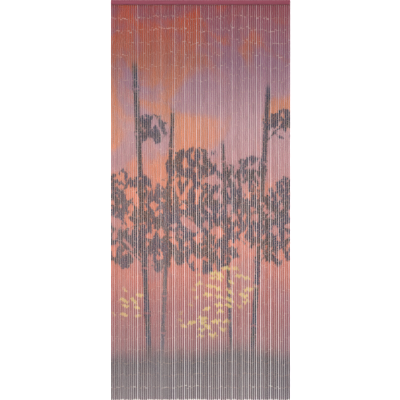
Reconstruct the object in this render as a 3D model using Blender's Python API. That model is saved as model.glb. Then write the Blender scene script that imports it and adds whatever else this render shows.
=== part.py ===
"""Bamboo bead door curtain: strands of painted bamboo tubes that hang from a wooden batten.

Metres, +Z up. The front of the curtain faces -Y. The origin is the centre of the batten's back face, where
it is fastened. Each strand is one four-sided solid of its tubes' outer width. The strands of a section stand
apart and join only at their roots, in the narrow row of string under the batten.
"""

import math
import random
from collections import namedtuple

import bmesh
import bpy
from mathutils import Matrix, Vector

# Driving sizes of the whole curtain
CURTAIN_WIDTH = 0.900
CURTAIN_DROP = 2.011
BATTEN_HEIGHT = 0.025
BATTEN_DEPTH = 0.014
BATTEN_ROUNDING = 0.0012
FIT_GAP = 0.0003

# The strands
SECTIONS = 7
STRANDS_IN_SECTION = 13
TUBE_WIDTH = 0.0080
BODY_STEPS = 8

# The gaps between the strands, as shares of a usual gap. The wide ones are counted from the left end
GAP_SPREAD = 0.30
WIDE_GAP_EXTRA = 1.10
WIDE_GAPS = (14, 26, 33, 38, 44, 46, 50, 56, 62, 67, 70, 74, 76, 81, 85)

# How the strands hang: plumb under the batten, and a little astray from FREE_FROM of the drop down
HANG_SEED = 41
LEAN_ACROSS = 0.00035
LEAN_IN_DEPTH = 0.0013
FREE_FROM = 0.5
END_UNEVENNESS = 0.006

# The row of string that the roots of a section share
ROW_DEPTH = 0.003
ROW_HEIGHT = 0.0015
SHOULDER = 0.0008

# The knot under the last tube
NECK_WIDTH = 0.0020
NECK_LENGTH = 0.0012
KNOT_WIDTH = 0.0045
KNOT_LENGTH = 0.0035
KNOT_TIP_WIDTH = 0.0022

STRAND_COUNT = SECTIONS * STRANDS_IN_SECTION
BATTEN_BOTTOM = -BATTEN_HEIGHT / 2
CENTRE_DEPTH = -BATTEN_DEPTH / 2
ROW_BOTTOM = BATTEN_BOTTOM - FIT_GAP - ROW_HEIGHT
CURTAIN_BOTTOM = BATTEN_HEIGHT / 2 - CURTAIN_DROP

# Where a strand leaves the batten, how far it strays across and in depth, and the height of its end
Hang = namedtuple("Hang", "place across in_depth end")


def clear_scene():
    for old in list(bpy.data.objects):
        bpy.data.objects.remove(old, do_unlink=True)


def paint(name, colour, roughness):
    """A Principled material of one colour."""
    material = bpy.data.materials.new(name)
    material.use_nodes = True
    shader = material.node_tree.nodes["Principled BSDF"]
    shader.inputs["Base Color"].default_value = (*colour, 1.0)
    shader.inputs["Roughness"].default_value = roughness
    shader.inputs["Metallic"].default_value = 0.0
    return material


def add_object(name, mesh_data, material):
    """Turns a finished bmesh into a named object."""
    bmesh.ops.recalc_face_normals(mesh_data, faces=mesh_data.faces)
    mesh = bpy.data.meshes.new(name)
    mesh_data.to_mesh(mesh)
    mesh_data.free()
    mesh.materials.append(material)
    made = bpy.data.objects.new(name, mesh)
    bpy.context.scene.collection.objects.link(made)
    return made


def strand_places(draw):
    """Where the strands leave the batten. The gaps share the width that the tubes leave."""
    shares = []
    for number in range(1, STRAND_COUNT):
        extra = WIDE_GAP_EXTRA if number in WIDE_GAPS else 0.0
        shares.append(1.0 + extra + draw.uniform(-GAP_SPREAD, GAP_SPREAD))
    usual_gap = (CURTAIN_WIDTH - STRAND_COUNT * TUBE_WIDTH) / sum(shares)
    places = [(TUBE_WIDTH - CURTAIN_WIDTH) / 2]
    for share in shares:
        places.append(places[-1] + TUBE_WIDTH + usual_gap * share)
    return places


def strand_hangs():
    """How each strand hangs. The outer two stay plumb, and one strand has the full drop."""
    draw = random.Random(HANG_SEED)
    hangs = []
    for number, place in enumerate(strand_places(draw)):
        lean = draw.uniform(-LEAN_ACROSS, LEAN_ACROSS)
        in_depth = draw.uniform(-LEAN_IN_DEPTH, LEAN_IN_DEPTH)
        end = CURTAIN_BOTTOM + draw.uniform(0.0, END_UNEVENNESS)
        if number in (0, STRAND_COUNT - 1):
            lean = 0.0
        hangs.append(Hang(place, lean, in_depth, end))
    lowest = min(hang.end for hang in hangs)
    return [hang._replace(end=hang.end + CURTAIN_BOTTOM - lowest) for hang in hangs]


def strand_centre(hang, height):
    """A strand's centre at this height."""
    fallen = (BATTEN_BOTTOM - height) / CURTAIN_DROP
    part = min(1.0, fallen / FREE_FROM)
    freedom = part * part * (3 - 2 * part)
    return Vector((hang.place + hang.across * freedom, CENTRE_DEPTH + hang.in_depth * freedom, height))


def build_batten(material):
    """The wooden batten, its long edges and ends slightly rounded."""
    shape = bmesh.new()
    bmesh.ops.create_cube(shape, size=1.0)
    size = Vector((CURTAIN_WIDTH, BATTEN_DEPTH, BATTEN_HEIGHT))
    bmesh.ops.scale(shape, vec=size, verts=shape.verts)
    bmesh.ops.translate(shape, vec=(0, CENTRE_DEPTH, 0), verts=shape.verts)
    bmesh.ops.bevel(
        shape,
        geom=shape.edges,
        offset=BATTEN_ROUNDING,
        offset_type="OFFSET",
        affect="EDGES",
        segments=2,
        profile=0.5,
        material=-1,
    )
    return add_object("batten", shape, material)


def next_ring(shape, face, step, widen=1.0, turn=0.0):
    """Extrudes a strand's end face by a step, and returns its new end face."""
    end = bmesh.ops.extrude_discrete_faces(shape, faces=[face])["faces"][0]
    corners = list(end.verts)
    centre = end.calc_center_median()
    to_centre = Matrix.Translation(-centre)
    bmesh.ops.scale(shape, vec=(widen, widen, 1), space=to_centre, verts=corners)
    bmesh.ops.rotate(
        shape, cent=centre, matrix=Matrix.Rotation(turn, 3, "Z"), verts=corners
    )
    bmesh.ops.translate(shape, vec=step, verts=corners)
    return end


def grow_strand(shape, root, hang):
    """One strand, from its root in the row of string down to the tip of its knot."""
    last_tube_end = hang.end + KNOT_LENGTH + NECK_LENGTH
    first_tube_top = ROW_BOTTOM - SHOULDER
    root_corner_distance = ROW_DEPTH / 2 * math.sqrt(2)
    start = root.calc_center_median()
    step = strand_centre(hang, first_tube_top) - start
    widen = TUBE_WIDTH / 2 / root_corner_distance
    face = next_ring(shape, root, step, widen, math.radians(45))
    here = start + step
    for index in range(1, BODY_STEPS + 1):
        height = first_tube_top + (last_tube_end - first_tube_top) * index / BODY_STEPS
        there = strand_centre(hang, height)
        face = next_ring(shape, face, there - here)
        here = there
    face = next_ring(
        shape, face, Vector((0, 0, -NECK_LENGTH)), NECK_WIDTH / TUBE_WIDTH
    )
    half_knot = Vector((0, 0, -KNOT_LENGTH / 2))
    face = next_ring(shape, face, half_knot, KNOT_WIDTH / NECK_WIDTH)
    next_ring(shape, face, half_knot, KNOT_TIP_WIDTH / KNOT_WIDTH)


def build_section(section, hangs, material):
    """One section: a narrow row of string under the batten, and the strands that hang from it."""
    first = section * STRANDS_IN_SECTION
    own = hangs[first : first + STRANDS_IN_SECTION]
    width = own[-1].place - own[0].place + TUBE_WIDTH
    middle_x = (own[0].place + own[-1].place) / 2
    shape = bmesh.new()
    bmesh.ops.create_cube(shape, size=1.0)
    bmesh.ops.scale(shape, vec=(width, ROW_DEPTH, ROW_HEIGHT), verts=shape.verts)
    middle = (middle_x, CENTRE_DEPTH, ROW_BOTTOM + ROW_HEIGHT / 2)
    bmesh.ops.translate(shape, vec=middle, verts=shape.verts)
    for hang in own:
        for side in (-ROW_DEPTH / 2, ROW_DEPTH / 2):
            everything = shape.verts[:] + shape.edges[:] + shape.faces[:]
            bmesh.ops.bisect_plane(
                shape,
                geom=everything,
                plane_co=(hang.place + side, 0, 0),
                plane_no=(1, 0, 0),
            )
    underside = [face for face in shape.faces if face.normal.z < -0.9]
    underside.sort(key=lambda face: face.calc_center_median().x)
    for hang, root in zip(own, underside[1::2]):
        grow_strand(shape, root, hang)
    return add_object(f"strands_{section + 1}", shape, material)


def main():
    clear_scene()
    hangs = strand_hangs()
    build_batten(paint("batten_paint", (0.30, 0.085, 0.115), 0.55))
    bamboo = paint("painted_bamboo", (0.46, 0.235, 0.195), 0.50)
    for section in range(SECTIONS):
        build_section(section, hangs, bamboo)


main()
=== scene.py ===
"""The looks of the bamboo bead door curtain: painted bamboo tubes on strings, under a painted batten.

Metres, +Z up, the front faces -Y. Every tube is its own small turned wall with a bore, threaded on a
string that follows a strand of the frame and ends in a knot. One design is painted across all the tubes.
"""

import math
import random
from collections import namedtuple

import bmesh
import bpy
import numpy as np
from mathutils import Matrix, Vector


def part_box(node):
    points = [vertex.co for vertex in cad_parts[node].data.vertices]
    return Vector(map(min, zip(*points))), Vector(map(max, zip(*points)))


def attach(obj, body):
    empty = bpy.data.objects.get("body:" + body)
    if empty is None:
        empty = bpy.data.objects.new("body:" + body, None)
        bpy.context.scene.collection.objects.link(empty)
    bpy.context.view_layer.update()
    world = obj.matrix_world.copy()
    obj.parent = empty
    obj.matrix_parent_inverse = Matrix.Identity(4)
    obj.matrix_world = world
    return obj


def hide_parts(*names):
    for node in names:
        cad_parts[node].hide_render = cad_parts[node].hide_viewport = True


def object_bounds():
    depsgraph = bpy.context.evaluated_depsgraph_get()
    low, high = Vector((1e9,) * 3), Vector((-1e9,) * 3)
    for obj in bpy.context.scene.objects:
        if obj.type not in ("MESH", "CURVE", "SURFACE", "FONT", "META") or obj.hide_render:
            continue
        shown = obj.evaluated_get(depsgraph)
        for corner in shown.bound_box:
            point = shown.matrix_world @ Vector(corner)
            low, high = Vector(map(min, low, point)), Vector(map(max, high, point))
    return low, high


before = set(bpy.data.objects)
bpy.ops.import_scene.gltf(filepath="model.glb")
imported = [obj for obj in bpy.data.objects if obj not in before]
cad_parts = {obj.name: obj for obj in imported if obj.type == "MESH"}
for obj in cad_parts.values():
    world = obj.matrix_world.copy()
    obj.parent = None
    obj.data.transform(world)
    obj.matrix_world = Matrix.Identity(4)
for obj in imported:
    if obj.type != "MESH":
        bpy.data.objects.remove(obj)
cad_low, cad_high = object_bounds()

# Sizes taken from the frame
batten_low, batten_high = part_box("batten")
SECTIONS = sum(name.startswith("strands_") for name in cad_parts)
CURTAIN_WIDTH = batten_high.x - batten_low.x
CURTAIN_DROP = batten_high.z - cad_low.z
CURTAIN_BOTTOM = cad_low.z
BATTEN_BOTTOM = batten_low.z
BATTEN_HEIGHT = batten_high.z - batten_low.z
CENTRE_DEPTH = (batten_low.y + batten_high.y) / 2

# How the strands hang, as in the frame. The wide gaps are counted from the left end
STRANDS_IN_SECTION = 13
TUBE_WIDTH = 0.0080
GAP_SPREAD = 0.30
WIDE_GAP_EXTRA = 1.10
WIDE_GAPS = (14, 26, 33, 38, 44, 46, 50, 56, 62, 67, 70, 74, 76, 81, 85)
HANG_SEED = 41
LEAN_ACROSS = 0.00035
LEAN_IN_DEPTH = 0.0013
FREE_FROM = 0.5
END_UNEVENNESS = 0.006
NECK_LENGTH = 0.0012
KNOT_LENGTH = 0.0035
STRAND_COUNT = SECTIONS * STRANDS_IN_SECTION

# The tubes and their string
TUBE_SEED = 7
TUBES_ON_STRAND = 32
JOINTS_ON_STRAND = TUBES_ON_STRAND - 1
TUBE_SIDES = 10
TUBE_BORE = 0.0052
TUBE_GAP = 0.0005
TUBE_CHAMFER = 0.00035
FIRST_TUBE_DROP = 0.0009
FIRST_TUBE_WANDER = 0.14
WANDER_STRANDS = 37
LENGTH_SPREAD = 0.10
WIDTH_SPREAD = 0.025
TUBE_TILT = math.radians(0.12)
STRAND_SLIP = 0.005
TUBE_SLIP = 0.0015
STRING_WIDTH = 0.0013
STRING_SIDES = 6
STRING_STEPS = 12

# The joints that open wider than usual, counted from the batten, and how many times as wide
OPEN_JOINTS = {0: 4.4, 1: 4.4, 2: 3.2, 3: 3.0, 4: 2.4, 5: 1.6, 30: 3.2}

# How a tube is laid out in its map, as shares of the map's height
MAP_NAME = "OFBake"
MAP_MARGIN = 0.02
MAP_END = 0.05
MAP_EDGE = 0.07
MAP_BORE = 0.88
PAINTED, BARE = 0, 1
SHARP_ANGLE = math.radians(40)

# The end knots
KNOT_SEED = 90
KNOT_REACH = 0.0012
KNOT_PLY = 0.0016
KNOT_SIDES = 8
KNOT_TILT = math.radians(38)
KNOT_END = 0.0032
FRAYED_WIDTH = 0.00208

# The tubes share the drop from under the batten to the end knots
TUBES_LENGTH = BATTEN_BOTTOM - FIRST_TUBE_DROP - (CURTAIN_BOTTOM + KNOT_LENGTH + NECK_LENGTH)
USUAL_LENGTH = (TUBES_LENGTH - TUBE_GAP * JOINTS_ON_STRAND) / TUBES_ON_STRAND

# The kinds of input and output that a node group has
FLOAT, VECTOR, COLOUR = "NodeSocketFloat", "NodeSocketVector", "NodeSocketColor"

# The picture: the curtain fills its height, its ends are cut off, and it hangs half a pixel off centre
PHOTO_PIXELS = 400
PHOTO_MIDDLE = 200.5
CAMERA_DISTANCE = 8.0
SENSOR = 36.0
TOP_CROP = 0.0017
END_CROP = 0.0053
FLOOR_CLEARANCE = 0.02
FLOOR_WIDTH = 18.0
BACKDROP_GAP = 0.0015
BACKDROP_WIDTH = 7.0
BACKDROP_HEIGHT = 4.0
BACKDROP_EDGE = 0.002

Hang = namedtuple("Hang", "place across in_depth end")
Tube = namedtuple("Tube", "centre length width turn tilt slip tone")


def strand_places(draw):
    """Where the strands leave the batten. The gaps share the width that the tubes leave."""
    shares = []
    for number in range(1, STRAND_COUNT):
        extra = WIDE_GAP_EXTRA if number in WIDE_GAPS else 0.0
        shares.append(1.0 + extra + draw.uniform(-GAP_SPREAD, GAP_SPREAD))
    usual_gap = (CURTAIN_WIDTH - STRAND_COUNT * TUBE_WIDTH) / sum(shares)
    places = [(TUBE_WIDTH - CURTAIN_WIDTH) / 2]
    for share in shares:
        places.append(places[-1] + TUBE_WIDTH + usual_gap * share)
    return places


def strand_hangs():
    """How each strand hangs. The outer two stay plumb, and one strand has the full drop."""
    draw = random.Random(HANG_SEED)
    hangs = []
    for number, place in enumerate(strand_places(draw)):
        lean = draw.uniform(-LEAN_ACROSS, LEAN_ACROSS)
        in_depth = draw.uniform(-LEAN_IN_DEPTH, LEAN_IN_DEPTH)
        end = CURTAIN_BOTTOM + draw.uniform(0.0, END_UNEVENNESS)
        if number in (0, STRAND_COUNT - 1):
            lean = 0.0
        hangs.append(Hang(place, lean, in_depth, end))
    lowest = min(hang.end for hang in hangs)
    return [hang._replace(end=hang.end + CURTAIN_BOTTOM - lowest) for hang in hangs]


def strand_centre(hang, height):
    """A strand's centre at this height."""
    fallen = (BATTEN_BOTTOM - height) / CURTAIN_DROP
    part = min(1.0, fallen / FREE_FROM)
    freedom = part * part * (3 - 2 * part)
    return Vector((hang.place + hang.across * freedom, CENTRE_DEPTH + hang.in_depth * freedom, height))


def strand_tubes(number, hang, draw):
    """The tubes of one strand. Their lengths and gaps differ, so no row of joints is even."""
    top = BATTEN_BOTTOM - FIRST_TUBE_DROP
    bottom = hang.end + KNOT_LENGTH + NECK_LENGTH
    shares = [1 + draw.uniform(-LENGTH_SPREAD, LENGTH_SPREAD) for _ in range(TUBES_ON_STRAND)]
    shares[0] += FIRST_TUBE_WANDER * math.sin(2 * math.pi * number / WANDER_STRANDS)
    gap_shares = [
        draw.random() ** 2 * OPEN_JOINTS.get(joint, 1.0) for joint in range(JOINTS_ON_STRAND)
    ]
    gap_shares.append(0.0)
    gap_length = TUBE_GAP * JOINTS_ON_STRAND
    free_length = top - bottom - gap_length
    strand_slip = draw.uniform(-STRAND_SLIP, STRAND_SLIP)
    strand_tone = draw.random()
    tubes = []
    for share, gap_share in zip(shares, gap_shares):
        length = free_length * share / sum(shares)
        tubes.append(
            Tube(
                centre=strand_centre(hang, top - length / 2),
                length=length,
                width=TUBE_WIDTH * (1 + draw.uniform(-WIDTH_SPREAD, WIDTH_SPREAD)),
                turn=draw.uniform(0.0, 2 * math.pi),
                tilt=draw.uniform(0.0, TUBE_TILT),
                slip=strand_slip + draw.uniform(-TUBE_SLIP, TUBE_SLIP),
                tone=(strand_tone + draw.random()) / 2,
            )
        )
        top -= length + gap_length * gap_share / sum(gap_shares)
    return tubes


def srgb(red, green, blue):
    """A colour given as 8-bit screen values, as the linear colour that nodes take."""
    levels = (red / 255, green / 255, blue / 255)
    linear = [
        level / 12.92 if level <= 0.04045 else ((level + 0.055) / 1.055) ** 2.4
        for level in levels
    ]
    return (*linear, 1.0)


# The paints
WARM_TONES = [
    (0.00, srgb(184, 69, 39)),
    (0.14, srgb(173, 97, 76)),
    (0.30, srgb(215, 143, 112)),
    (0.46, srgb(219, 136, 106)),
    (0.61, srgb(218, 133, 110)),
    (0.76, srgb(166, 101, 101)),
    (0.85, srgb(156, 107, 109)),
    (0.885, srgb(106, 93, 96)),
    (1.00, srgb(136, 121, 125)),
]
COOL_TONES = [
    (0.00, srgb(148, 74, 88)),
    (0.14, srgb(150, 106, 128)),
    (0.30, srgb(191, 149, 157)),
    (0.46, srgb(194, 139, 140)),
    (0.62, srgb(190, 124, 117)),
    (0.76, srgb(156, 102, 112)),
    (0.85, srgb(146, 105, 114)),
    (0.885, srgb(102, 90, 97)),
    (1.00, srgb(132, 119, 127)),
]
SLATE_GREY = srgb(52, 58, 60)
SLATE_BLUE = srgb(38, 56, 80)
STRAW_YELLOW = srgb(214, 190, 116)
BARE_BAMBOO = srgb(202, 160, 130)
BARE_BAMBOO_DARK = srgb(174, 134, 100)
PORE_BROWN = srgb(104, 76, 52)
STRING_LIGHT = srgb(190, 172, 150)
STRING_SHADE = srgb(134, 114, 94)
PLUM_LIGHT = srgb(165, 79, 100)
PLUM_DARK = srgb(146, 66, 85)
# The plum of the batten's dark grain, also used for the painted shadow along its lower edge
PLUM_GRAIN_AND_SHADOW = srgb(100, 40, 54)
PLUM_RUBBED = srgb(178, 88, 104)
PAINT_GLOSS = 0.3
MOTIF_STRENGTH = 0.94
TONE_SPREAD = 0.26
# How far and how strongly a painted shadow darkens the tubes just under the batten, and the batten's lower
# edge
SHADOW_LINE_REACH = 0.007
SHADOW_LINE_STRENGTH = 0.55
STREAK_DEPTH = 0.26
SCUFF_STRENGTH = 0.45
WORN_STRENGTH = 0.6
PORE_STRENGTH = 0.6
DARK_FIBRE_STRENGTH = 0.35
RUB_STRENGTH = 0.25
RUB_REACH = 0.0022

# How many fibres or brush marks lie in a metre along each axis, and the pattern of the string
PAINTED_FIBRES = (1500, 1500, 22)
SCUFF_FIBRES = (700, 700, 70)
CUT_FIBRES = (1600, 1600, 60)
BATTEN_FIBRES = (9, 700, 700)
BRUSH_MARKS = (7, 160, 160)
PLY_SCALE = 260.0
PLY_SLANT = (1.0, 1.0, 0.8)
FUZZ_SCALE = 2200.0

# The stage. The backdrop behind the curtain glows faintly with the paint's tint, painted light seen in the
# gaps, and more strongly where the strands hang free
STAGE_ROUGHNESS = 0.9
FLOOR_LEVEL = 0.84
FLOOR_GLOW = 0.12
BACKDROP_LEVEL = 0.9
BACKDROP_GLOW = (0.60, 0.60, 0.60, 1.0)
GAP_TINT = 0.30
GAP_GLOW_HIGH = 0.02
GAP_GLOW_LOW = 0.11

# The painted motifs, in metres: across from the middle, and down from the batten
Cane = namedtuple("Cane", "middle lean width head joint")
CANES = [
    Cane(middle=-0.345, lean=0.050, width=0.029, head=0.27, joint=0.225),
    Cane(middle=-0.115, lean=-0.045, width=0.022, head=0.50, joint=0.185),
    Cane(middle=0.365, lean=-0.060, width=0.027, head=0.38, joint=0.205),
    Cane(middle=0.085, lean=0.040, width=0.018, head=0.66, joint=0.160),
]
Spray = namedtuple("Spray", "cane across drop half_width half_drop")
SPRAYS = [
    Spray(cane=0, across=-0.24, drop=0.62, half_width=0.12, half_drop=0.08),
    Spray(cane=0, across=-0.40, drop=0.95, half_width=0.19, half_drop=0.14),
    Spray(cane=0, across=-0.22, drop=1.06, half_width=0.19, half_drop=0.14),
    Spray(cane=0, across=-0.38, drop=1.21, half_width=0.18, half_drop=0.13),
    Spray(cane=1, across=-0.04, drop=0.80, half_width=0.15, half_drop=0.11),
    Spray(cane=1, across=-0.08, drop=0.98, half_width=0.19, half_drop=0.14),
    Spray(cane=1, across=-0.19, drop=1.22, half_width=0.18, half_drop=0.13),
    Spray(cane=2, across=0.41, drop=0.60, half_width=0.11, half_drop=0.08),
    Spray(cane=2, across=0.22, drop=0.86, half_width=0.16, half_drop=0.11),
    Spray(cane=2, across=0.41, drop=0.99, half_width=0.18, half_drop=0.14),
    Spray(cane=2, across=0.26, drop=1.09, half_width=0.20, half_drop=0.14),
    Spray(cane=2, across=0.38, drop=1.21, half_width=0.17, half_drop=0.12),
    Spray(cane=3, across=0.08, drop=1.02, half_width=0.20, half_drop=0.15),
    Spray(cane=3, across=0.04, drop=1.23, half_width=0.17, half_drop=0.13),
]
TWIG_RISE = 0.09
TWIG_WIDTH = 0.007
HEAD_FADE = 0.05
JOINT_SWELL = 0.20
SWELL_REACH = 0.022
JOINT_LINE = 0.003
Petals = namedtuple("Petals", "across drop half_width half_drop")
PETAL_PATCHES = [
    Petals(across=0.12, drop=1.42, half_width=0.20, half_drop=0.15),
    Petals(across=0.02, drop=1.58, half_width=0.16, half_drop=0.12),
    Petals(across=-0.36, drop=1.50, half_width=0.12, half_drop=0.10),
]
LeafLayer = namedtuple("LeafLayer", "cell angle spread length width share seed inset")
LEAF_LAYERS = [
    LeafLayer(cell=0.064, angle=66, spread=60, length=0.112, width=0.029, share=0.95, seed=0.0, inset=0.80),
    LeafLayer(cell=0.060, angle=112, spread=60, length=0.106, width=0.028, share=0.95, seed=3.7, inset=0.82),
    LeafLayer(cell=0.067, angle=42, spread=50, length=0.114, width=0.029, share=0.95, seed=8.1, inset=0.86),
    LeafLayer(cell=0.058, angle=90, spread=50, length=0.104, width=0.028, share=0.95, seed=5.6, inset=0.90),
    LeafLayer(cell=0.062, angle=136, spread=40, length=0.110, width=0.029, share=0.90, seed=2.3, inset=0.94),
    LeafLayer(cell=0.060, angle=78, spread=40, length=0.108, width=0.029, share=0.90, seed=6.9, inset=1.00),
]
PETAL_LAYER = LeafLayer(
    cell=0.038, angle=12, spread=50, length=0.056, width=0.022, share=0.85, seed=5.3, inset=0.10
)
CELL_STRETCH = 1.7
CELL_RANDOMNESS = 0.75
SMALLEST_LEAF, LARGEST_LEAF = 0.7, 1.1
PETAL_STRENGTH = 0.9
CLOUD_SCALE = 3.4
RAGGED_SCALE = 11.0
GROUND_LEVEL = 0.895
SPECK_STRENGTH = 0.36
STIPPLE_SCALE = 170.0
STIPPLE_REACH = 0.014

# The studio's light
SURROUND_LEVEL = 0.50
Lamp = namedtuple("Lamp", "name place target width height spread level")
LAMPS = [
    Lamp(
        name="key_lamp",
        place=(-1.8, -4.0, 3.0),
        target=(0, 0, -0.9),
        width=2.0,
        height=2.0,
        spread=math.radians(179),
        level=0.32,
    ),
    Lamp(
        name="front_lamp",
        place=(0.0, -4.5, -1.6),
        target=(0, 0, -1.6),
        width=1.2,
        height=0.5,
        spread=math.radians(50),
        level=0.52,
    ),
]


def feed(tree, socket, value):
    """Gives an input a value, or links it to the socket that feeds it."""
    if isinstance(value, bpy.types.NodeSocket):
        tree.links.new(value, socket)
    else:
        socket.default_value = value


def add_node(tree, kind, inputs=None, **settings):
    """Adds a node with these settings, and feeds the inputs that are named."""
    made = tree.nodes.new(kind)
    for name, value in settings.items():
        setattr(made, name, value)
    for name, value in (inputs or {}).items():
        feed(tree, made.inputs[name], value)
    return made


def calc(tree, operation, *values, clamp=False):
    """A Math node on these values or sockets."""
    made = add_node(tree, "ShaderNodeMath", operation=operation, use_clamp=clamp)
    for socket, value in zip(made.inputs, values):
        feed(tree, socket, value)
    return made.outputs["Value"]


def vector_calc(tree, operation, *values):
    """A Vector Math node on these vectors or sockets."""
    made = add_node(tree, "ShaderNodeVectorMath", operation=operation)
    for socket, value in zip(made.inputs, values):
        feed(tree, socket, value)
    return made.outputs["Vector"]


def axes_of(tree, vector):
    """A vector's X, Y and Z."""
    return add_node(tree, "ShaderNodeSeparateXYZ", {"Vector": vector}).outputs


def length_of(tree, vector):
    """A vector's length."""
    return add_node(tree, "ShaderNodeVectorMath", {0: vector}, operation="LENGTH").outputs["Value"]


def scaled(tree, vector, scale):
    """A vector or a colour, times a number."""
    inputs = {0: vector, "Scale": scale}
    return add_node(tree, "ShaderNodeVectorMath", inputs, operation="SCALE").outputs["Vector"]


def turned(tree, vector, angle):
    """A vector turned about Z."""
    inputs = {"Vector": vector, "Angle": angle}
    return add_node(tree, "ShaderNodeVectorRotate", inputs, rotation_type="Z_AXIS").outputs["Vector"]


def noise(tree, place, scale, detail, roughness=0.5, distortion=0.0, flat=False):
    """Noise in space, or in the flat of X and Y: its value and its colour."""
    inputs = {
        "Vector": place,
        "Scale": scale,
        "Detail": detail,
        "Roughness": roughness,
        "Distortion": distortion,
    }
    dimensions = "2D" if flat else "3D"
    return add_node(tree, "ShaderNodeTexNoise", inputs, noise_dimensions=dimensions).outputs


def step_between(tree, value, low, high):
    """0 at low and 1 at high, with a soft change between them."""
    inputs = {"Value": value, "From Min": low, "From Max": high}
    made = add_node(tree, "ShaderNodeMapRange", inputs, interpolation_type="SMOOTHSTEP")
    return made.outputs["Result"]


def blend_values(tree, amount, below, above):
    """The value that lies between two others by an amount."""
    return calc(tree, "MULTIPLY_ADD", amount, above - below, below)


def blend_colours(tree, amount, below, above):
    """Lays one colour over another by an amount."""
    made = add_node(tree, "ShaderNodeMix", data_type="RGBA", blend_type="MIX")
    feed(tree, made.inputs["Factor"], amount)
    feed(tree, made.inputs[6], below)
    feed(tree, made.inputs[7], above)
    return made.outputs[2]


def colour_ramp(tree, value, stops):
    """The colour at this place among a list of (place, colour) stops."""
    made = add_node(tree, "ShaderNodeValToRGB", {"Fac": value})
    elements = made.color_ramp.elements
    elements[0].position, elements[0].color = stops[0]
    elements[1].position, elements[1].color = stops[-1]
    for place, colour in stops[1:-1]:
        elements.new(place).color = colour
    return made.outputs["Color"]


def new_group(name, inputs, outputs):
    """A shader node group with these sockets: its tree, its inputs by name, and its outputs to feed."""
    tree = bpy.data.node_groups.new(name, "ShaderNodeTree")
    for label, (kind, value) in inputs.items():
        socket = tree.interface.new_socket(label, in_out="INPUT", socket_type=kind)
        socket.default_value = value
    for label, kind in outputs.items():
        tree.interface.new_socket(label, in_out="OUTPUT", socket_type=kind)
    given = tree.nodes.new("NodeGroupInput").outputs
    wanted = tree.nodes.new("NodeGroupOutput").inputs
    return tree, given, wanted


def use_group(tree, group, inputs):
    """Places a group in a material or in another group, and feeds its inputs."""
    made = tree.nodes.new("ShaderNodeGroup")
    made.node_tree = group
    for name, value in inputs.items():
        feed(tree, made.inputs[name], value)
    return made.outputs


def build_fibre_grain():
    """Fibres of wood or bamboo. Stretch is how many of them lie in a metre along each axis."""
    tree, given, wanted = new_group(
        "fibre_grain",
        {"Vector": (VECTOR, (0, 0, 0)), "Stretch": (VECTOR, (900, 900, 14))},
        {"Fibre": FLOAT, "Fleck": FLOAT},
    )
    fine = vector_calc(tree, "MULTIPLY", given["Vector"], given["Stretch"])
    broad = vector_calc(tree, "MULTIPLY", fine, (0.22, 0.22, 0.45))
    fleck = noise(tree, broad, 1.0, 2.0)["Fac"]
    feed(tree, wanted["Fibre"], noise(tree, fine, 1.0, 4.0, roughness=0.65)["Fac"])
    feed(tree, wanted["Fleck"], step_between(tree, fleck, 0.35, 0.65))
    return tree


def build_leaf_scatter():
    """Long leaves, at most one to a cell, that all lean about the same way."""
    tree, given, wanted = new_group(
        "leaf_scatter",
        {
            "Place": (VECTOR, (0, 0, 0)),
            "Cell": (FLOAT, 0.06),
            "Angle": (FLOAT, 1.2),
            "Spread": (FLOAT, 0.9),
            "Length": (FLOAT, 0.09),
            "Width": (FLOAT, 0.018),
            "Share": (FLOAT, 0.8),
            "Seed": (FLOAT, 0.0),
        },
        {"Leaf": FLOAT},
    )
    aligned = turned(tree, given["Place"], calc(tree, "MULTIPLY", given["Angle"], -1.0))
    cell_length = calc(tree, "MULTIPLY", given["Cell"], CELL_STRETCH)
    sides = {"X": cell_length, "Y": given["Cell"], "Z": 1.0}
    cell = add_node(tree, "ShaderNodeCombineXYZ", sides).outputs["Vector"]
    shifted = vector_calc(tree, "ADD", vector_calc(tree, "DIVIDE", aligned, cell), given["Seed"])
    inputs = {"Vector": shifted, "Scale": 1.0, "Randomness": CELL_RANDOMNESS}
    cells = add_node(tree, "ShaderNodeTexVoronoi", inputs, voronoi_dimensions="2D").outputs
    chance = add_node(tree, "ShaderNodeSeparateColor", {"Color": cells["Color"]}).outputs
    from_middle = vector_calc(tree, "SUBTRACT", shifted, cells["Position"])
    turn = calc(tree, "MULTIPLY", calc(tree, "SUBTRACT", chance["Red"], 0.5), given["Spread"])
    own = axes_of(tree, turned(tree, vector_calc(tree, "MULTIPLY", from_middle, cell), turn))
    half_size = blend_values(tree, chance["Green"], SMALLEST_LEAF / 2, LARGEST_LEAF / 2)
    along = calc(tree, "DIVIDE", own["X"], calc(tree, "MULTIPLY", given["Length"], half_size))
    across = calc(tree, "DIVIDE", own["Y"], calc(tree, "MULTIPLY", given["Width"], half_size))
    across = calc(tree, "ABSOLUTE", across)
    rim = calc(tree, "SUBTRACT", 1.0, calc(tree, "MULTIPLY", along, along))
    inside = step_between(tree, calc(tree, "SUBTRACT", rim, across), 0.0, 0.18)
    grown = calc(tree, "LESS_THAN", chance["Blue"], given["Share"])
    feed(tree, wanted["Leaf"], calc(tree, "MULTIPLY", inside, grown))
    return tree


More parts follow.
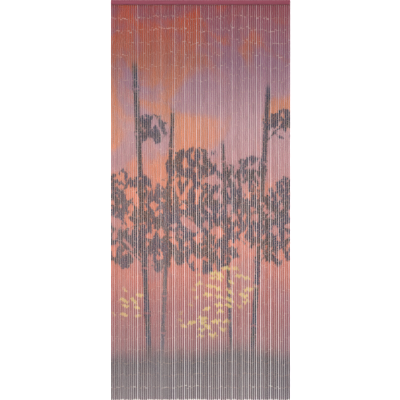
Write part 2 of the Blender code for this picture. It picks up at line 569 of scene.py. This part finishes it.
def build_cane():
    """One bamboo cane, with its joints, that stands up to its head."""
    tree, given, wanted = new_group(
        "cane",
        {
            "Place": (VECTOR, (0, 0, 0)),
            "Middle": (FLOAT, 0.0),
            "Lean": (FLOAT, 0.0),
            "Width": (FLOAT, 0.03),
            "Head": (FLOAT, 0.5),
            "Joint": (FLOAT, 0.2),
        },
        {"Cane": FLOAT},
    )
    place = axes_of(tree, given["Place"])
    middle = calc(tree, "MULTIPLY_ADD", given["Lean"], place["Y"], given["Middle"])
    aside = calc(tree, "ABSOLUTE", calc(tree, "SUBTRACT", place["X"], middle))
    half_joint = calc(tree, "MULTIPLY", given["Joint"], 0.5)
    shifted = calc(tree, "ADD", place["Y"], given["Width"])
    to_joint = calc(tree, "PINGPONG", shifted, half_joint)
    swell = step_between(tree, to_joint, SWELL_REACH, 2 * JOINT_LINE)
    half_share = blend_values(tree, swell, 0.5, 0.5 + JOINT_SWELL)
    half_width = calc(tree, "MULTIPLY", given["Width"], half_share)
    stem = step_between(tree, calc(tree, "SUBTRACT", half_width, aside), -0.001, 0.004)
    below_head = step_between(tree, calc(tree, "SUBTRACT", place["Y"], given["Head"]), 0.0, HEAD_FADE)
    between_joints = step_between(tree, to_joint, JOINT_LINE, JOINT_LINE + 0.004)
    body = calc(tree, "MULTIPLY", stem, blend_values(tree, between_joints, 0.1, 1.0))
    feed(tree, wanted["Cane"], calc(tree, "MULTIPLY", body, below_head))
    return tree


def build_soft_patch():
    """A soft oval patch: 1 in its middle and 0 at its rim."""
    tree, given, wanted = new_group(
        "soft_patch",
        {
            "Place": (VECTOR, (0, 0, 0)),
            "Middle": (VECTOR, (0, 0, 0)),
            "Reach": (VECTOR, (0.2, 0.2, 1.0)),
        },
        {"Patch": FLOAT},
    )
    offset = vector_calc(tree, "SUBTRACT", given["Place"], given["Middle"])
    distance = length_of(tree, vector_calc(tree, "DIVIDE", offset, given["Reach"]))
    feed(tree, wanted["Patch"], calc(tree, "SUBTRACT", 1.0, distance, clamp=True))
    return tree


def strongest(tree, values):
    """The highest of several masks."""
    best = values[0]
    for value in values[1:]:
        best = calc(tree, "MAXIMUM", best, value)
    return best


def patches(tree, soft_patch, place, table):
    """The soft patches of a table, laid together."""
    made = []
    for row in table:
        inputs = {
            "Place": place,
            "Middle": (row.across, row.drop, 0.0),
            "Reach": (row.half_width, row.half_drop, 1.0),
        }
        made.append(use_group(tree, soft_patch, inputs)["Patch"])
    return strongest(tree, made)


def build_twig():
    """A straight twig from a cane out to the middle of its spray."""
    tree, given, wanted = new_group(
        "twig",
        {
            "Place": (VECTOR, (0, 0, 0)),
            "Root": (VECTOR, (0, 0, 0)),
            "Reach": (VECTOR, (0.1, 0.1, 0)),
            "Width": (FLOAT, 0.006),
        },
        {"Twig": FLOAT},
    )
    offset = vector_calc(tree, "SUBTRACT", given["Place"], given["Root"])
    length = length_of(tree, given["Reach"])
    dot = add_node(tree, "ShaderNodeVectorMath", {0: offset, 1: given["Reach"]}, operation="DOT_PRODUCT")
    square = calc(tree, "MULTIPLY", length, length)
    along = calc(tree, "DIVIDE", dot.outputs["Value"], square, clamp=True)
    aside = vector_calc(tree, "SUBTRACT", offset, scaled(tree, given["Reach"], along))
    half_width = calc(tree, "MULTIPLY", given["Width"], 0.5)
    edge = calc(tree, "SUBTRACT", half_width, length_of(tree, aside))
    feed(tree, wanted["Twig"], step_between(tree, edge, -0.0015, 0.0010))
    return tree


def twigs(tree, twig, place):
    """The twigs of all the sprays, laid together. A twig rises from its cane to its spray."""
    made = []
    for spray in SPRAYS:
        cane = CANES[spray.cane]
        root_drop = spray.drop + TWIG_RISE
        root = (cane.middle + cane.lean * root_drop, root_drop, 0.0)
        reach = (spray.across - root[0], -TWIG_RISE, 0.0)
        inputs = {"Place": place, "Root": root, "Reach": reach, "Width": TWIG_WIDTH}
        made.append(use_group(tree, twig, inputs)["Twig"])
    return strongest(tree, made)


def scatter_leaves(tree, leaf_scatter, place, layer):
    """One layer of leaves or petals."""
    inputs = {
        "Place": place,
        "Cell": layer.cell,
        "Angle": math.radians(layer.angle),
        "Spread": math.radians(layer.spread),
        "Length": layer.length,
        "Width": layer.width,
        "Share": layer.share,
        "Seed": layer.seed,
    }
    return use_group(tree, leaf_scatter, inputs)["Leaf"]


def paint_clouds(tree, place):
    """Warm and cool clouds that pale on the way down, and how far down their colours are."""
    axes = axes_of(tree, place)
    share = calc(tree, "DIVIDE", axes["Y"], CURTAIN_DROP)
    clouds = noise(tree, place, CLOUD_SCALE, 4.0, roughness=0.55, distortion=0.6, flat=True)["Fac"]
    sided = calc(tree, "MULTIPLY_ADD", axes["X"], -0.10, clouds)
    sided = calc(tree, "ADD", sided, blend_values(tree, share, -0.045, 0.115))
    warmth = step_between(tree, sided, 0.39, 0.61)
    level = calc(tree, "ADD", share, blend_values(tree, clouds, -0.03, 0.03))
    warm = colour_ramp(tree, level, WARM_TONES)
    cool = colour_ramp(tree, level, COOL_TONES)
    return blend_colours(tree, warmth, cool, warm), level


def paint_leaves(tree, soft_patch, leaf_scatter, place, dabbed, ragged):
    """The leaves of the sprays. Each layer of them starts further inside a spray."""
    sprays = patches(tree, soft_patch, place, SPRAYS)
    ragged_area = calc(tree, "MULTIPLY_ADD", ragged, 1.4, sprays)
    leaves = []
    for layer in LEAF_LAYERS:
        leafy = step_between(tree, ragged_area, layer.inset, layer.inset + 0.05)
        leaves.append(calc(tree, "MULTIPLY", scatter_leaves(tree, leaf_scatter, dabbed, layer), leafy))
    in_sprays = step_between(tree, sprays, 0.0, 0.10)
    return calc(tree, "MULTIPLY", strongest(tree, leaves), in_sprays)


def paint_canes(tree, cane, dabbed, level):
    """The canes. Their feet fade into the ground at the foot of the painting."""
    stems = []
    for row in CANES:
        inputs = {
            "Place": dabbed,
            "Middle": row.middle,
            "Lean": row.lean,
            "Width": row.width,
            "Head": row.head,
            "Joint": row.joint,
        }
        stems.append(use_group(tree, cane, inputs)["Cane"])
    above_ground = step_between(tree, level, GROUND_LEVEL, GROUND_LEVEL - 0.05)
    return calc(tree, "MULTIPLY", strongest(tree, stems), above_ground)


def paint_petals(tree, soft_patch, leaf_scatter, place, dabbed):
    """The petals, strongest in the middle of their patches."""
    petals = scatter_leaves(tree, leaf_scatter, dabbed, PETAL_LAYER)
    area = patches(tree, soft_patch, place, PETAL_PATCHES)
    area = step_between(tree, area, PETAL_LAYER.inset, PETAL_LAYER.inset + 0.25)
    return calc(tree, "MULTIPLY", petals, calc(tree, "MULTIPLY", area, PETAL_STRENGTH))


def build_painted_design(soft_patch, cane, twig, leaf_scatter):
    """The painting: slate canes with sprays of leaves, and yellow petals, before the clouds."""
    tree, given, wanted = new_group("painted_design", {"Place": (VECTOR, (0, 0, 0))}, {"Color": COLOUR})
    place = given["Place"]
    clouds, level = paint_clouds(tree, place)

    ragged = noise(tree, place, RAGGED_SCALE, 4.0, flat=True)["Fac"]
    stipple = noise(tree, place, STIPPLE_SCALE, 1.0, flat=True)["Color"]
    strayed = vector_calc(tree, "SUBTRACT", stipple, (0.5, 0.5, 0.5))
    strayed = vector_calc(tree, "MULTIPLY", strayed, (STIPPLE_REACH, STIPPLE_REACH, 0.0))
    dabbed = vector_calc(tree, "ADD", place, strayed)
    leaves = paint_leaves(tree, soft_patch, leaf_scatter, place, dabbed, ragged)
    canes = paint_canes(tree, cane, dabbed, level)
    motif = strongest(tree, [leaves, twigs(tree, twig, dabbed), canes])

    stipple_parts = add_node(tree, "ShaderNodeSeparateColor", {"Color": stipple}).outputs
    specks = step_between(tree, stipple_parts["Blue"], 0.56, 0.63)
    slate = blend_colours(tree, step_between(tree, ragged, 0.40, 0.60), SLATE_GREY, SLATE_BLUE)
    slate = blend_colours(tree, calc(tree, "MULTIPLY", specks, SPECK_STRENGTH), slate, clouds)
    painted = blend_colours(tree, calc(tree, "MULTIPLY", motif, MOTIF_STRENGTH), clouds, slate)
    petals = paint_petals(tree, soft_patch, leaf_scatter, place, dabbed)
    feed(tree, wanted["Color"], blend_colours(tree, petals, painted, STRAW_YELLOW))
    return tree


def new_material(name):
    """A material with its Principled shader: its tree and the shader."""
    material = bpy.data.materials.new(name)
    material.use_nodes = True
    tree = material.node_tree
    return material, tree, tree.nodes["Principled BSDF"]


def own_place(tree):
    """The place of a point in the curtain's own frame."""
    return add_node(tree, "ShaderNodeTexCoord").outputs["Object"]


def attribute(tree, name):
    """A number that a mesh carries at its points."""
    return add_node(tree, "ShaderNodeAttribute", attribute_name=name).outputs["Fac"]


def raise_surface(tree, shader, height, strength, distance):
    """Feeds a shader's normal from a height."""
    inputs = {"Height": height, "Strength": strength, "Distance": distance}
    feed(tree, shader.inputs["Normal"], add_node(tree, "ShaderNodeBump", inputs).outputs["Normal"])


def design_place(tree, place):
    """The point of the flat painting on this point of a tube: across, and down from the batten."""
    axes = axes_of(tree, place)
    rise = calc(tree, "SUBTRACT", axes["Z"], BATTEN_BOTTOM)
    drop = calc(tree, "SUBTRACT", attribute(tree, "slip"), rise)
    return add_node(tree, "ShaderNodeCombineXYZ", {"X": axes["X"], "Y": drop}).outputs["Vector"]


def make_painted_bamboo(painted_design, fibre_grain):
    """Matt paint on bamboo. Fibres show through it, a painted shadow darkens it just under the batten, and
    tube ends are worn.
    """
    material, tree, shader = new_material("painted_bamboo")
    place = own_place(tree)
    paint = use_group(tree, painted_design, {"Place": design_place(tree, place)})["Color"]
    grain = use_group(tree, fibre_grain, {"Vector": place, "Stretch": PAINTED_FIBRES})
    streak = step_between(tree, grain["Fibre"], 0.34, 0.66)
    tone = blend_values(tree, attribute(tree, "tone"), 1 - TONE_SPREAD / 2, 1 + TONE_SPREAD / 2)
    streaked = blend_values(tree, streak, 1 + STREAK_DEPTH / 2, 1 - STREAK_DEPTH / 2)
    # Painted shadow: the tops of the first tubes are darkened just under the batten
    below = calc(tree, "SUBTRACT", BATTEN_BOTTOM, axes_of(tree, place)["Z"])
    painted_shadow = step_between(tree, below, SHADOW_LINE_REACH, 0.0)
    shadowed = blend_values(tree, painted_shadow, 1.0, 1 - SHADOW_LINE_STRENGTH)
    tone_and_shadow = calc(tree, "MULTIPLY", calc(tree, "MULTIPLY", tone, streaked), shadowed)

    scuffs = use_group(tree, fibre_grain, {"Vector": place, "Stretch": SCUFF_FIBRES})
    scuffed = calc(tree, "MULTIPLY", step_between(tree, scuffs["Fibre"], 0.60, 0.70), SCUFF_STRENGTH)
    along = attribute(tree, "along")
    to_end = calc(tree, "MINIMUM", along, calc(tree, "SUBTRACT", 1.0, along))
    worn_reach = blend_values(tree, scuffs["Fibre"], -0.010, 0.030)
    worn = step_between(tree, calc(tree, "SUBTRACT", to_end, worn_reach), 0.006, -0.003)
    bare = calc(tree, "MAXIMUM", scuffed, calc(tree, "MULTIPLY", worn, WORN_STRENGTH))
    colour = blend_colours(tree, bare, scaled(tree, paint, tone_and_shadow), BARE_BAMBOO)
    feed(tree, shader.inputs["Base Color"], colour)
    feed(tree, shader.inputs["Roughness"], blend_values(tree, streak, 0.46, 0.66))
    shader.inputs["Specular IOR Level"].default_value = PAINT_GLOSS
    height = calc(tree, "MULTIPLY_ADD", scuffed, -0.5, grain["Fibre"])
    raise_surface(tree, shader, height, 0.5, 0.0004)
    return material


def make_bare_bamboo(fibre_grain):
    """The cut ends and the bore of a tube: bare bamboo with dark pores."""
    material, tree, shader = new_material("bare_bamboo")
    place = own_place(tree)
    grain = use_group(tree, fibre_grain, {"Vector": place, "Stretch": CUT_FIBRES})
    pores = step_between(tree, grain["Fibre"], 0.42, 0.30)
    colour = blend_colours(tree, grain["Fleck"], BARE_BAMBOO, BARE_BAMBOO_DARK)
    colour = blend_colours(tree, calc(tree, "MULTIPLY", pores, PORE_STRENGTH), colour, PORE_BROWN)
    feed(tree, shader.inputs["Base Color"], colour)
    feed(tree, shader.inputs["Roughness"], blend_values(tree, grain["Fibre"], 0.6, 0.8))
    raise_surface(tree, shader, grain["Fibre"], 0.4, 0.0002)
    return material


def make_cotton_string():
    """Twisted cotton string: slanting plies in painted light and shade, and a little fuzz."""
    material, tree, shader = new_material("cotton_string")
    place = own_place(tree)
    plies = add_node(
        tree,
        "ShaderNodeTexWave",
        {
            "Vector": vector_calc(tree, "MULTIPLY", place, PLY_SLANT),
            "Scale": PLY_SCALE,
            "Distortion": 1.2,
            "Detail": 1.0,
        },
        wave_type="BANDS",
        bands_direction="DIAGONAL",
    ).outputs["Fac"]
    fuzz = noise(tree, place, FUZZ_SCALE, 2.0)["Fac"]
    # Painted light and shade: the plies lighter, the grooves between them darker
    colour = blend_colours(tree, plies, STRING_SHADE, STRING_LIGHT)
    feed(tree, shader.inputs["Base Color"], colour)
    feed(tree, shader.inputs["Roughness"], blend_values(tree, fuzz, 0.78, 0.93))
    raise_surface(tree, shader, calc(tree, "MULTIPLY_ADD", fuzz, 0.4, plies), 0.5, 0.0003)
    return material


def make_batten_paint(fibre_grain):
    """Plum paint on a planed wooden batten: faint grain, brush marks, edges rubbed lighter, and painted
    shade along its lower edge.
    """
    material, tree, shader = new_material("batten_paint")
    place = own_place(tree)
    grain = use_group(tree, fibre_grain, {"Vector": place, "Stretch": BATTEN_FIBRES})
    brush = noise(tree, vector_calc(tree, "MULTIPLY", place, BRUSH_MARKS), 1.0, 3.0)["Fac"]
    colour = blend_colours(tree, brush, PLUM_DARK, PLUM_LIGHT)
    dark = step_between(tree, grain["Fibre"], 0.58, 0.30)
    colour = blend_colours(tree, calc(tree, "MULTIPLY", dark, DARK_FIBRE_STRENGTH), colour, PLUM_GRAIN_AND_SHADOW)

    height = axes_of(tree, place)["Z"]
    from_edge = calc(tree, "SUBTRACT", BATTEN_HEIGHT / 2, calc(tree, "ABSOLUTE", height))
    rubbed = step_between(tree, calc(tree, "MULTIPLY_ADD", brush, -RUB_REACH, from_edge), 0.0006, -0.0010)
    colour = blend_colours(tree, calc(tree, "MULTIPLY", rubbed, RUB_STRENGTH), colour, PLUM_RUBBED)
    # Painted shade: the batten is darker along its lower edge
    from_bottom = calc(tree, "ADD", height, BATTEN_HEIGHT / 2)
    painted_shadow = calc(tree, "MULTIPLY", step_between(tree, from_bottom, SHADOW_LINE_REACH, 0.0), SHADOW_LINE_STRENGTH)
    colour = blend_colours(tree, painted_shadow, colour, PLUM_GRAIN_AND_SHADOW)
    feed(tree, shader.inputs["Base Color"], colour)
    feed(tree, shader.inputs["Roughness"], blend_values(tree, brush, 0.40, 0.60))
    shader.inputs["Specular IOR Level"].default_value = PAINT_GLOSS
    raised = calc(tree, "MULTIPLY_ADD", grain["Fibre"], 0.6, brush)
    raise_surface(tree, shader, raised, 0.3, 0.0004)
    return material


def make_plain_pale(name, level):
    """A plain pale surface of the studio."""
    material, tree, shader = new_material(name)
    shader.inputs["Base Color"].default_value = (level, level, level, 1.0)
    shader.inputs["Roughness"].default_value = STAGE_ROUGHNESS
    return material, tree, shader


def finish_mesh(name, shape):
    """Turns a finished shape into a mesh."""
    mesh = bpy.data.meshes.new(name)
    shape.to_mesh(mesh)
    shape.free()
    return mesh


def join(shape, addition):
    """Adds a finished shape to another one."""
    carrier = finish_mesh("carrier", addition)
    shape.from_mesh(carrier)
    bpy.data.meshes.remove(carrier)


def cut_tube():
    """One tube at its usual size, along Z about the origin: a wall with a bore, its outer edges eased."""
    shape = bmesh.new()
    outer, bore = TUBE_WIDTH / 2, TUBE_BORE / 2
    half = USUAL_LENGTH / 2
    profile = [
        (bore, -half),
        (outer - TUBE_CHAMFER, -half),
        (outer, TUBE_CHAMFER - half),
        (outer, half - TUBE_CHAMFER),
        (outer - TUBE_CHAMFER, half),
        (bore, half),
    ]
    corners = [shape.verts.new((radius, 0, height)) for radius, height in profile]
    edges = [shape.edges.new((a, b)) for a, b in zip(corners, corners[1:] + corners[:1])]
    bmesh.ops.spin(
        shape,
        geom=corners + edges,
        cent=(0, 0, 0),
        axis=(0, 0, 1),
        angle=2 * math.pi,
        steps=TUBE_SIDES,
        use_merge=True,
    )
    bmesh.ops.recalc_face_normals(shape, faces=shape.faces)
    for face in shape.faces:
        face.smooth = True
        face.material_index = PAINTED if is_outer(face) else BARE
    for edge in shape.edges:
        edge.smooth = edge.calc_face_angle() < SHARP_ANGLE
    lay_out_tube(shape)
    return finish_mesh("usual_tube", shape)


def is_outer(face):
    """True on the outside of a tube's wall and on its eased edges."""
    middle = face.calc_center_median()
    outward = Vector((middle.x, middle.y, 0)).normalized()
    return face.normal.dot(outward) > 0.5


def is_bore(face):
    """True on the wall of a tube's bore."""
    middle = face.calc_center_median()
    return face.normal.dot(Vector((middle.x, middle.y, 0))) < -1e-6


def lay_out_tube(shape):
    """Unrolls a tube into the unit square: around it from left to right, along it from bottom to top."""
    layer = shape.loops.layers.uv.new(MAP_NAME)
    for face in shape.faces:
        middle = face.calc_center_median()
        turn = math.atan2(middle.y, middle.x) % (2 * math.pi)
        in_bore = is_bore(face)
        for loop in face.loops:
            point = loop.vert.co
            aside = math.atan2(point.y, point.x) - turn
            aside = (aside + math.pi) % (2 * math.pi) - math.pi
            loop[layer].uv = ((turn + aside) / (2 * math.pi), map_height(point, in_bore))


def map_height(point, in_bore):
    """How high a tube's point lies in its map: the end, the eased edge, the outside, and last the bore."""
    low = point.z < 0
    radius = math.hypot(point.x, point.y)
    if in_bore:
        return 1.0 if low else MAP_BORE
    if radius < (TUBE_BORE + TUBE_WIDTH) / 4:
        return 0.0 if low else MAP_BORE
    if radius < (TUBE_WIDTH - TUBE_CHAMFER) / 2:
        return MAP_END if low else MAP_BORE - MAP_END
    return MAP_EDGE if low else MAP_BORE - MAP_EDGE


def place_tube(usual, tube):
    """A copy of the usual tube, sized, turned and set on its strand."""
    widen = tube.width / TUBE_WIDTH
    size = Matrix.Diagonal((widen, widen, tube.length / USUAL_LENGTH, 1))
    turn = Matrix.Rotation(tube.turn, 4, "Z") @ Matrix.Rotation(tube.tilt, 4, "X")
    single = bmesh.new()
    single.from_mesh(usual)
    bmesh.ops.transform(single, matrix=Matrix.Translation(tube.centre) @ turn @ size, verts=single.verts)
    return single


def make_tubes(section, strands, usual, materials):
    """One section's tubes, joined. Each point carries its tube's slip and tone, and its place along it."""
    name = f"tubes_{section + 1}"
    joined = bmesh.new()
    tubes = [tube for strand in strands for tube in strand]
    for tube in tubes:
        join(joined, place_tube(usual, tube))
    mesh = finish_mesh(name, joined)
    for material in materials:
        mesh.materials.append(material)

    points = len(usual.vertices)
    heights = [(vertex.co.z / USUAL_LENGTH) + 0.5 for vertex in usual.vertices]
    carry(mesh, "slip", np.repeat([tube.slip for tube in tubes], points))
    carry(mesh, "tone", np.repeat([tube.tone for tube in tubes], points))
    carry(mesh, "along", np.tile(heights, len(tubes)))
    spread_maps(mesh, usual, len(strands))
    return add_piece(name, mesh, section)


def carry(mesh, name, values):
    """Writes one number for each point of a mesh."""
    made = mesh.attributes.new(name, "FLOAT", "POINT")
    made.data.foreach_set("value", values.astype(np.float32))


def spread_maps(mesh, usual, strand_count):
    """Gives each tube's map its own cell: a row for each strand, and a cell in it for each tube."""
    corners = len(usual.loops)
    layer = mesh.uv_layers[MAP_NAME]
    places = np.empty(len(mesh.loops) * 2, np.float32)
    layer.uv.foreach_get("vector", places)
    places = places.reshape(strand_count, TUBES_ON_STRAND, corners, 2)
    places = MAP_MARGIN + places * (1 - 2 * MAP_MARGIN)
    places[..., 0] = (places[..., 0] + np.arange(TUBES_ON_STRAND)[None, :, None]) / TUBES_ON_STRAND
    places[..., 1] = (places[..., 1] + np.arange(strand_count)[:, None, None]) / strand_count
    layer.uv.foreach_set("vector", places.ravel())


def add_piece(name, mesh, section):
    """Makes a mesh a piece of the curtain that stands for its section's strands."""
    piece = bpy.data.objects.new(name, mesh)
    bpy.context.scene.collection.objects.link(piece)
    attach(piece, "root")
    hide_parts(f"strands_{section + 1}")
    return piece


def tie_usual_knot():
    """The end knot, about the origin: two crossed loops of string, and the string's short end."""
    shape = bmesh.new()
    for tilt in (KNOT_TILT, -KNOT_TILT):
        loop = bmesh.new()
        across_loop = Matrix.Translation((KNOT_REACH, 0, 0)) @ Matrix.Rotation(math.radians(90), 4, "X")
        bmesh.ops.create_circle(loop, segments=STRING_SIDES, radius=KNOT_PLY / 2, matrix=across_loop)
        bmesh.ops.spin(
            loop,
            geom=loop.verts[:] + loop.edges[:],
            cent=(0, 0, 0),
            axis=(0, 0, 1),
            angle=2 * math.pi,
            steps=KNOT_SIDES,
            use_merge=True,
        )
        lean = Matrix.Rotation(2 * tilt, 4, "Z") @ Matrix.Rotation(tilt, 4, "X")
        bmesh.ops.transform(loop, matrix=lean, verts=loop.verts)
        join(shape, loop)
    bmesh.ops.create_cone(
        shape,
        cap_ends=True,
        segments=STRING_SIDES,
        radius1=FRAYED_WIDTH / 2,
        radius2=STRING_WIDTH / 2,
        depth=KNOT_END,
        matrix=Matrix.Translation((0, 0, -KNOT_END / 2)),
    )
    bmesh.ops.recalc_face_normals(shape, faces=shape.faces)
    return finish_mesh("usual_knot", shape)


def thread_string(shape, hang):
    """One string, which follows its strand from the batten's underside down into the knot."""
    bottom = hang.end + KNOT_LENGTH / 2
    step = (bottom - BATTEN_BOTTOM) / STRING_STEPS
    heights = [BATTEN_BOTTOM + step * number for number in range(STRING_STEPS + 1)]
    places = [strand_centre(hang, height) for height in heights]
    made = bmesh.ops.create_cone(
        shape,
        cap_ends=True,
        segments=STRING_SIDES,
        radius1=STRING_WIDTH / 2,
        radius2=STRING_WIDTH / 2,
        depth=-step,
        matrix=Matrix.Translation((places[0] + places[1]) / 2),
    )
    caps = {face for vert in made["verts"] for face in vert.link_faces}
    face = min(caps, key=lambda cap: cap.calc_center_median().z)
    for here, there in zip(places[1:], places[2:]):
        face = bmesh.ops.extrude_discrete_faces(shape, faces=[face])["faces"][0]
        bmesh.ops.translate(shape, vec=there - here, verts=face.verts)


def make_strings(section, hangs, usual_knot, material):
    """The strings of one section, with their end knots, as one joined mesh."""
    draw = random.Random(KNOT_SEED + section)
    shape = bmesh.new()
    for hang in hangs:
        single = bmesh.new()
        thread_string(single, hang)
        join(shape, single)
        knot = bmesh.new()
        knot.from_mesh(usual_knot)
        place = strand_centre(hang, hang.end + KNOT_LENGTH / 2)
        turn = Matrix.Rotation(draw.uniform(0, 2 * math.pi), 4, "Z")
        bmesh.ops.transform(knot, matrix=Matrix.Translation(place) @ turn, verts=knot.verts)
        join(shape, knot)
    for face in shape.faces:
        face.smooth = True
    name = f"strings_{section + 1}"
    mesh = finish_mesh(name, shape)
    mesh.materials.append(material)
    return add_piece(name, mesh, section)


def lay_plane(name, size, place, lean, material):
    """A flat stage surface of this width and depth, tipped up by an angle."""
    shape = bmesh.new()
    bmesh.ops.create_grid(shape, x_segments=1, y_segments=1, size=0.5)
    bmesh.ops.scale(shape, vec=(*size, 1), verts=shape.verts)
    bmesh.ops.rotate(shape, cent=(0, 0, 0), matrix=Matrix.Rotation(lean, 3, "X"), verts=shape.verts)
    bmesh.ops.translate(shape, vec=place, verts=shape.verts)
    mesh = finish_mesh(name, shape)
    mesh.materials.append(material)
    plane = bpy.data.objects.new(name, mesh)
    bpy.context.scene.collection.objects.link(plane)
    return plane


def light_in_gaps(tree, height):
    """Painted light for the backdrop between the strands: a glow with the tint of the paint at this height.
    """
    share = calc(tree, "DIVIDE", calc(tree, "SUBTRACT", BATTEN_BOTTOM, height), CURTAIN_DROP)
    cool = colour_ramp(tree, share, COOL_TONES)
    warm = colour_ramp(tree, share, WARM_TONES)
    tint = scaled(tree, blend_colours(tree, 0.5, cool, warm), GAP_TINT)
    free = step_between(tree, share, FREE_FROM - 0.1, FREE_FROM)
    return vector_calc(tree, "ADD", tint, blend_values(tree, free, GAP_GLOW_HIGH, GAP_GLOW_LOW))


def set_stage():
    """A pale floor under the strands, and a pale backdrop close behind them, clear from behind."""
    floor_height = CURTAIN_BOTTOM - FLOOR_CLEARANCE
    floor_paint, _, shader = make_plain_pale("floor_paint", FLOOR_LEVEL)
    shader.inputs["Emission Color"].default_value = (1, 1, 1, 1)
    shader.inputs["Emission Strength"].default_value = FLOOR_GLOW
    lay_plane("floor", (FLOOR_WIDTH, FLOOR_WIDTH), (0, 0, floor_height), 0.0, floor_paint)

    backdrop_paint, tree, shader = make_plain_pale("backdrop_paint", BACKDROP_LEVEL)
    shader.inputs["Emission Strength"].default_value = 1.0
    axes = axes_of(tree, own_place(tree))
    aside = calc(tree, "SUBTRACT", calc(tree, "ABSOLUTE", axes["X"]), CURTAIN_WIDTH / 2)
    above = calc(tree, "SUBTRACT", axes["Z"], batten_high.z)
    beside = step_between(tree, calc(tree, "MAXIMUM", aside, above), -BACKDROP_EDGE, BACKDROP_EDGE)
    # Painted light: beside and above the curtain the backdrop glows white; behind it, it glows only faintly
    # with the paint's tint, seen in the gaps
    painted_gap_light = light_in_gaps(tree, axes["Z"])
    feed(tree, shader.inputs["Emission Color"], blend_colours(tree, beside, painted_gap_light, BACKDROP_GLOW))
    behind = add_node(tree, "ShaderNodeNewGeometry").outputs["Backfacing"]
    clear = add_node(tree, "ShaderNodeBsdfTransparent").outputs["BSDF"]
    mixed = add_node(tree, "ShaderNodeMixShader", {"Fac": behind, 1: shader.outputs["BSDF"], 2: clear})
    feed(tree, tree.nodes["Material Output"].inputs["Surface"], mixed.outputs["Shader"])
    middle = (0, batten_high.y + BACKDROP_GAP, floor_height + BACKDROP_HEIGHT / 2)
    size = (BACKDROP_WIDTH, BACKDROP_HEIGHT)
    backdrop = lay_plane("backdrop", size, middle, math.radians(90), backdrop_paint)
    backdrop.visible_shadow = False
    backdrop.visible_diffuse = False
    backdrop.visible_glossy = False


def light_studio():
    """Soft light: a pale surround that the camera sees as white, and soft lamps."""
    world = bpy.data.worlds.new("studio")
    bpy.context.scene.world = world
    world.use_nodes = True
    tree = world.node_tree
    tree.nodes.clear()
    lighting, seen = [
        add_node(tree, "ShaderNodeBackground", {"Color": (1, 1, 1, 1), "Strength": level})
        for level in (SURROUND_LEVEL, 1.0)
    ]
    inputs = {
        "Fac": add_node(tree, "ShaderNodeLightPath").outputs["Is Camera Ray"],
        1: lighting.outputs["Background"],
        2: seen.outputs["Background"],
    }
    mixed = add_node(tree, "ShaderNodeMixShader", inputs)
    add_node(tree, "ShaderNodeOutputWorld", {"Surface": mixed.outputs["Shader"]})
    for lamp in LAMPS:
        hang_lamp(lamp)


def hang_lamp(lamp):
    """A soft lamp. Its level is what it adds to a white surface that faces it at its target."""
    data = bpy.data.lights.new(lamp.name, "AREA")
    data.shape = "RECTANGLE"
    data.size, data.size_y = lamp.width, lamp.height
    data.spread = lamp.spread
    place, target = Vector(lamp.place), Vector(lamp.target)
    gathered = 1 - (lamp.spread / 2) / math.tan(lamp.spread / 2)
    data.energy = lamp.level * math.pi**2 * (target - place).length_squared * gathered
    made = bpy.data.objects.new(lamp.name, data)
    made.location = place
    made.rotation_euler = (target - place).to_track_quat("-Z", "Y").to_euler()
    made.visible_camera = False
    bpy.context.scene.collection.objects.link(made)


def set_camera():
    """A long lens, square to the curtain, whose frame the curtain fills from top to bottom."""
    seen_height = CURTAIN_DROP - TOP_CROP - END_CROP
    data = bpy.data.cameras.new("camera")
    data.sensor_width = SENSOR
    data.lens = SENSOR * CAMERA_DISTANCE / seen_height
    camera = bpy.data.objects.new("camera", data)
    off_centre = (PHOTO_MIDDLE - PHOTO_PIXELS / 2) * seen_height / PHOTO_PIXELS
    middle_height = batten_high.z - TOP_CROP - seen_height / 2
    camera.location = (-off_centre, batten_low.y - CAMERA_DISTANCE, middle_height)
    camera.rotation_euler = (math.radians(90), 0, 0)
    bpy.context.scene.collection.objects.link(camera)
    bpy.context.scene.camera = camera
    bpy.context.scene.view_settings.view_transform = "Standard"


def hang_curtain():
    """Tubes and strings for every section, and the batten's paint."""
    fibre_grain = build_fibre_grain()
    motifs = build_soft_patch(), build_cane(), build_twig(), build_leaf_scatter()
    painted = make_painted_bamboo(build_painted_design(*motifs), fibre_grain)
    bare = make_bare_bamboo(fibre_grain)
    cotton = make_cotton_string()
    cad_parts["batten"].material_slots[0].material = make_batten_paint(fibre_grain)

    hangs = strand_hangs()
    draw = random.Random(TUBE_SEED)
    strands = [strand_tubes(number, hang, draw) for number, hang in enumerate(hangs)]
    usual_tube, usual_knot = cut_tube(), tie_usual_knot()
    for section in range(SECTIONS):
        first = section * STRANDS_IN_SECTION
        own = slice(first, first + STRANDS_IN_SECTION)
        make_tubes(section, strands[own], usual_tube, (painted, bare))
        make_strings(section, hangs[own], usual_knot, cotton)
    bpy.data.meshes.remove(usual_tube)
    bpy.data.meshes.remove(usual_knot)


set_camera()
set_stage()
light_studio()
hang_curtain()
